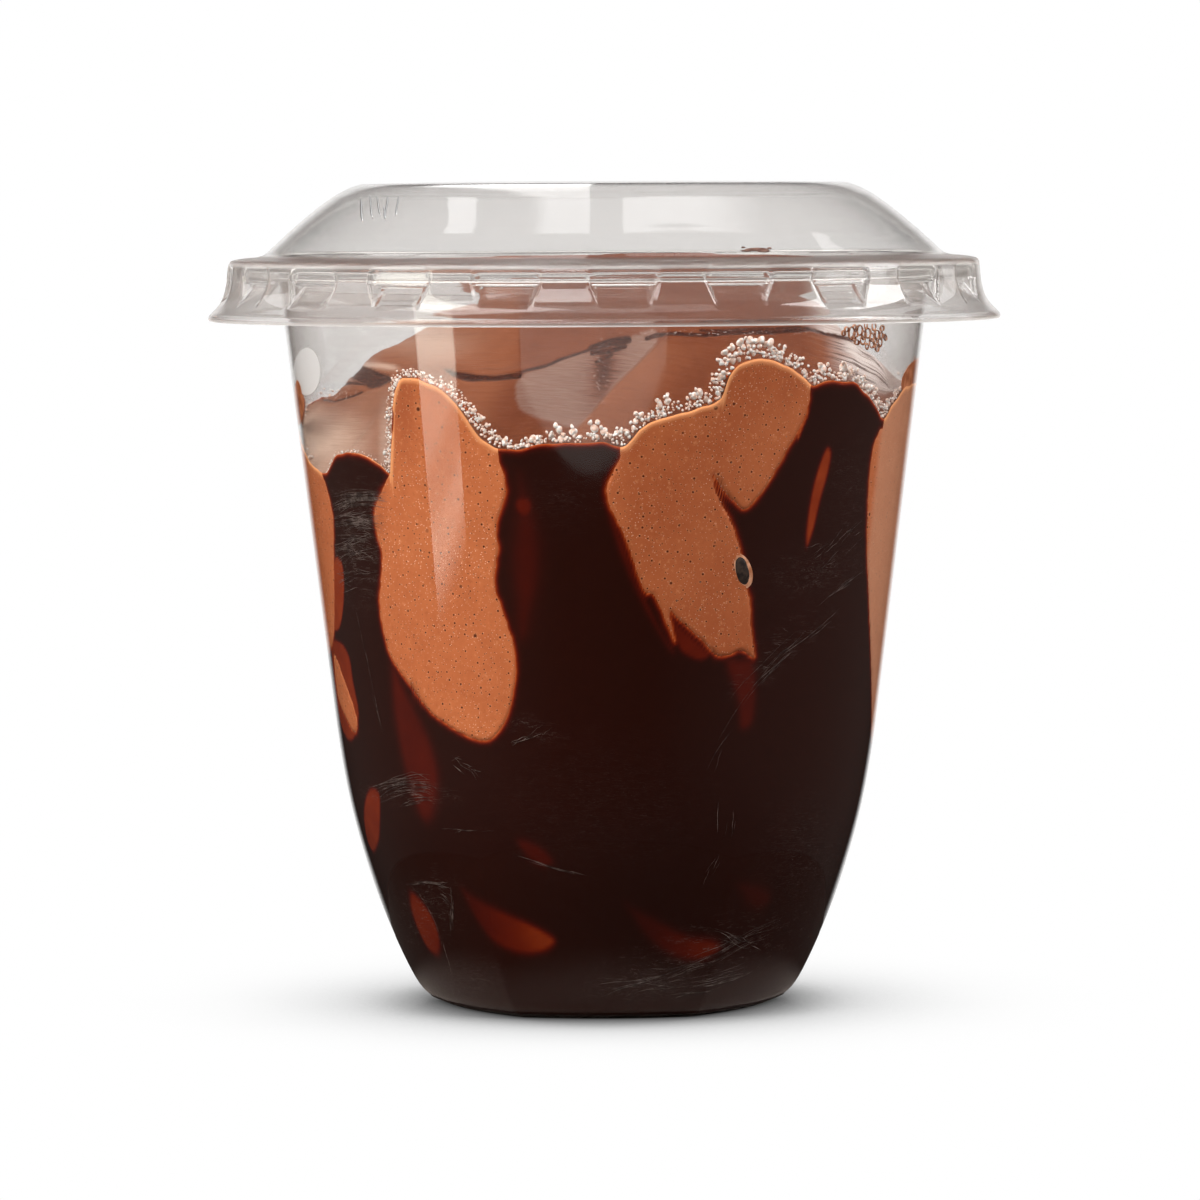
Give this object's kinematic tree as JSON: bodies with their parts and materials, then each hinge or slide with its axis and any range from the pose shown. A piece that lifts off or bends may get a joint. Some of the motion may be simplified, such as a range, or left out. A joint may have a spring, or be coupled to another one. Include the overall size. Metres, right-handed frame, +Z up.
{
  "type": "ice cream tub",
  "caption": "Clear plastic tub with a tapered cup, a wide rolled rim and a push-fit dome lid, filled with chocolate ice cream and dark chocolate sauce.",
  "frame": {"origin": "centre of the base, on the surface the tub stands on", "axes": "+Z up along the tub's axis, -Y to the front of the tub as pictured, +X to the viewer's right"},
  "size_m": [0.1015, 0.1016, 0.1056],
  "materials": {
    "clear_cup": "clear, glossy",
    "clear_lid": "clear, glossy",
    "ice_cream": "soft satin with fine pores",
    "sauce": "wet, glossy"
  },
  "bodies": {
    "root": {"cup": "clear_cup", "lid": "clear_lid", "ice_cream": "ice_cream", "sauce": "sauce"}
  },
  "joints": []
}
